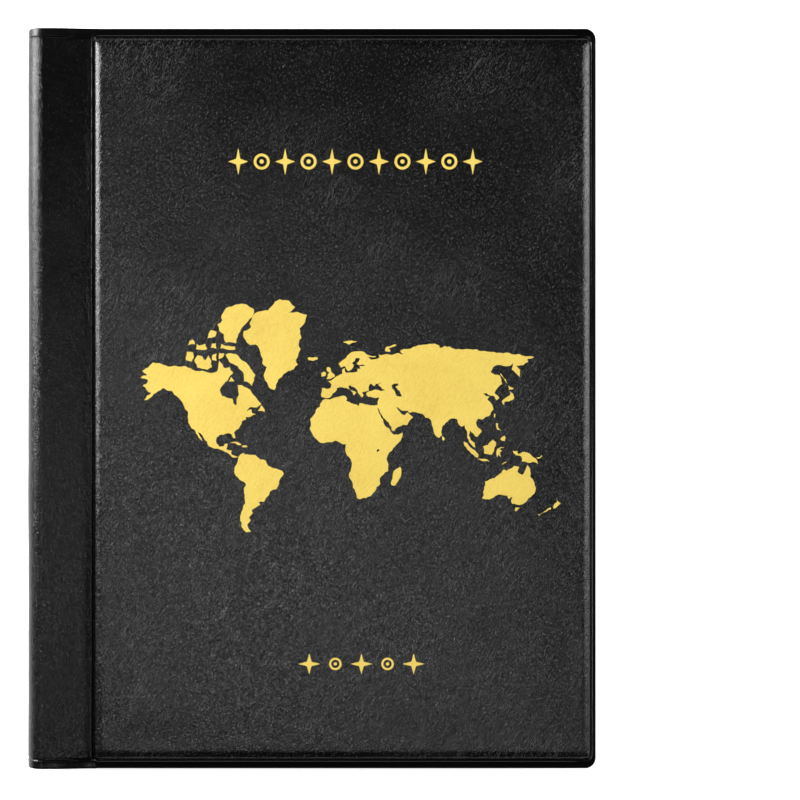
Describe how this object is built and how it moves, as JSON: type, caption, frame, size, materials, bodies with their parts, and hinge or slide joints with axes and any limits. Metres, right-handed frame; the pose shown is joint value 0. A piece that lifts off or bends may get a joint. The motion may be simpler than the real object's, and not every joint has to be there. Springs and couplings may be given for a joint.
{
  "type": "coin album",
  "caption": "Soft padded coin album with a black leather-look cover, a flat spine with rounded corners, and welded pocket pages that fan open.",
  "frame": {"origin": "under the middle of the closed album, on the plane that the back cover rests on", "axes": "+X from the spine to the open edge, +Y from the tail to the head, +Z from the back cover to the front cover"},
  "size_m": [0.192, 0.25, 0.028],
  "materials": {
    "cover_leather": "satin",
    "inner_lining": "satin",
    "pad_foam": "matte",
    "cover_board": "matte",
    "page_film": "gloss",
    "page_binding": "satin",
    "gold_foil": "satin"
  },
  "bodies": {
    "back_cover": {"back_cover_skin": "cover_leather", "back_cover_foam": "pad_foam", "back_cover_board": "cover_board", "back_cover_lining": "inner_lining"},
    "back_strip": {"back_strip_skin": "cover_leather", "back_strip_lining": "inner_lining"},
    "spine": {"spine_skin": "cover_leather", "spine_board": "cover_board", "spine_lining": "inner_lining", "page_binding": "page_binding"},
    "front_strip": {"front_strip_skin": "cover_leather", "front_strip_lining": "inner_lining"},
    "front_cover": {"front_cover_skin": "cover_leather", "front_cover_foam": "pad_foam", "front_cover_board": "cover_board", "front_cover_lining": "inner_lining"},
    "leaf_01": {"leaf_01_backing": "page_film", "leaf_01_pockets": "page_film"},
    "leaf_02": {"leaf_02_backing": "page_film", "leaf_02_pockets": "page_film"},
    "leaf_03": {"leaf_03_backing": "page_film", "leaf_03_pockets": "page_film"},
    "leaf_04": {"leaf_04_backing": "page_film", "leaf_04_pockets": "page_film"},
    "leaf_05": {"leaf_05_backing": "page_film", "leaf_05_pockets": "page_film"},
    "leaf_06": {"leaf_06_backing": "page_film", "leaf_06_pockets": "page_film"},
    "leaf_07": {"leaf_07_backing": "page_film", "leaf_07_pockets": "page_film"},
    "leaf_08": {"leaf_08_backing": "page_film", "leaf_08_pockets": "page_film"},
    "leaf_09": {"leaf_09_backing": "page_film", "leaf_09_pockets": "page_film"},
    "leaf_10": {"leaf_10_backing": "page_film", "leaf_10_pockets": "page_film"},
    "leaf_11": {"leaf_11_backing": "page_film", "leaf_11_pockets": "page_film"},
    "leaf_12": {"leaf_12_backing": "page_film", "leaf_12_pockets": "page_film"},
    "leaf_13": {"leaf_13_backing": "page_film", "leaf_13_pockets": "page_film"},
    "leaf_14": {"leaf_14_backing": "page_film", "leaf_14_pockets": "page_film"}
  },
  "joints": [
    {"name": "back_cover_hinge", "type": "hinge", "parent": "back_cover", "child": "back_strip", "pos_m": [-0.0738, 0, 0.0006], "axis": [0, -1, 0], "range_deg": [0, 90]},
    {"name": "spine_opening", "type": "hinge", "parent": "back_strip", "child": "spine", "pos_m": [-0.09493, 0, 0.00107], "axis": [0, -1, 0], "range_deg": [0, 90]},
    {"name": "spine_upper_fold", "type": "hinge", "parent": "spine", "child": "front_strip", "pos_m": [-0.09493, 0, 0.02693], "axis": [0, -1, 0], "range_deg": [0, 90]},
    {"name": "front_cover_hinge", "type": "hinge", "parent": "front_strip", "child": "front_cover", "pos_m": [-0.0738, 0, 0.0274], "axis": [0, -1, 0], "range_deg": [0, 90]},
    {"name": "leaf_01_turn", "type": "hinge", "parent": "spine", "child": "leaf_01", "pos_m": [-0.089, 0, 0.02291], "axis": [0, -1, 0], "range_deg": [0, 86]},
    {"name": "leaf_02_turn", "type": "hinge", "parent": "spine", "child": "leaf_02", "pos_m": [-0.089, 0, 0.02154], "axis": [0, -1, 0], "range_deg": [0, 84]},
    {"name": "leaf_03_turn", "type": "hinge", "parent": "spine", "child": "leaf_03", "pos_m": [-0.089, 0, 0.02017], "axis": [0, -1, 0], "range_deg": [0, 82]},
    {"name": "leaf_04_turn", "type": "hinge", "parent": "spine", "child": "leaf_04", "pos_m": [-0.089, 0, 0.0188], "axis": [0, -1, 0], "range_deg": [0, 80]},
    {"name": "leaf_05_turn", "type": "hinge", "parent": "spine", "child": "leaf_05", "pos_m": [-0.089, 0, 0.01743], "axis": [0, -1, 0], "range_deg": [-68, 0]},
    {"name": "leaf_06_turn", "type": "hinge", "parent": "spine", "child": "leaf_06", "pos_m": [-0.089, 0, 0.01606], "axis": [0, -1, 0], "range_deg": [-70, 0]},
    {"name": "leaf_07_turn", "type": "hinge", "parent": "spine", "child": "leaf_07", "pos_m": [-0.089, 0, 0.01469], "axis": [0, -1, 0], "range_deg": [-72, 0]},
    {"name": "leaf_08_turn", "type": "hinge", "parent": "spine", "child": "leaf_08", "pos_m": [-0.089, 0, 0.01331], "axis": [0, -1, 0], "range_deg": [-74, 0]},
    {"name": "leaf_09_turn", "type": "hinge", "parent": "spine", "child": "leaf_09", "pos_m": [-0.089, 0, 0.01194], "axis": [0, -1, 0], "range_deg": [-76, 0]},
    {"name": "leaf_10_turn", "type": "hinge", "parent": "spine", "child": "leaf_10", "pos_m": [-0.089, 0, 0.01057], "axis": [0, -1, 0], "range_deg": [-78, 0]},
    {"name": "leaf_11_turn", "type": "hinge", "parent": "spine", "child": "leaf_11", "pos_m": [-0.089, 0, 0.0092], "axis": [0, -1, 0], "range_deg": [-80, 0]},
    {"name": "leaf_12_turn", "type": "hinge", "parent": "spine", "child": "leaf_12", "pos_m": [-0.089, 0, 0.00783], "axis": [0, -1, 0], "range_deg": [-82, 0]},
    {"name": "leaf_13_turn", "type": "hinge", "parent": "spine", "child": "leaf_13", "pos_m": [-0.089, 0, 0.00646], "axis": [0, -1, 0], "range_deg": [-84, 0]},
    {"name": "leaf_14_turn", "type": "hinge", "parent": "spine", "child": "leaf_14", "pos_m": [-0.089, 0, 0.00509], "axis": [0, -1, 0], "range_deg": [-86, 0]}
  ],
  "couplings": [
    {"joint": "spine_upper_fold", "follows": "spine_opening", "ratio": 1},
    {"joint": "leaf_01_turn", "follows": "spine_opening", "ratio": 0.94444},
    {"joint": "leaf_02_turn", "follows": "spine_opening", "ratio": 0.92222},
    {"joint": "leaf_03_turn", "follows": "spine_opening", "ratio": 0.9},
    {"joint": "leaf_04_turn", "follows": "spine_opening", "ratio": 0.87778},
    {"joint": "leaf_05_turn", "follows": "spine_opening", "ratio": -0.74444},
    {"joint": "leaf_06_turn", "follows": "spine_opening", "ratio": -0.76667},
    {"joint": "leaf_07_turn", "follows": "spine_opening", "ratio": -0.78889},
    {"joint": "leaf_08_turn", "follows": "spine_opening", "ratio": -0.81111},
    {"joint": "leaf_09_turn", "follows": "spine_opening", "ratio": -0.83333},
    {"joint": "leaf_10_turn", "follows": "spine_opening", "ratio": -0.85556},
    {"joint": "leaf_11_turn", "follows": "spine_opening", "ratio": -0.87778},
    {"joint": "leaf_12_turn", "follows": "spine_opening", "ratio": -0.9},
    {"joint": "leaf_13_turn", "follows": "spine_opening", "ratio": -0.92222},
    {"joint": "leaf_14_turn", "follows": "spine_opening", "ratio": -0.94444}
  ]
}
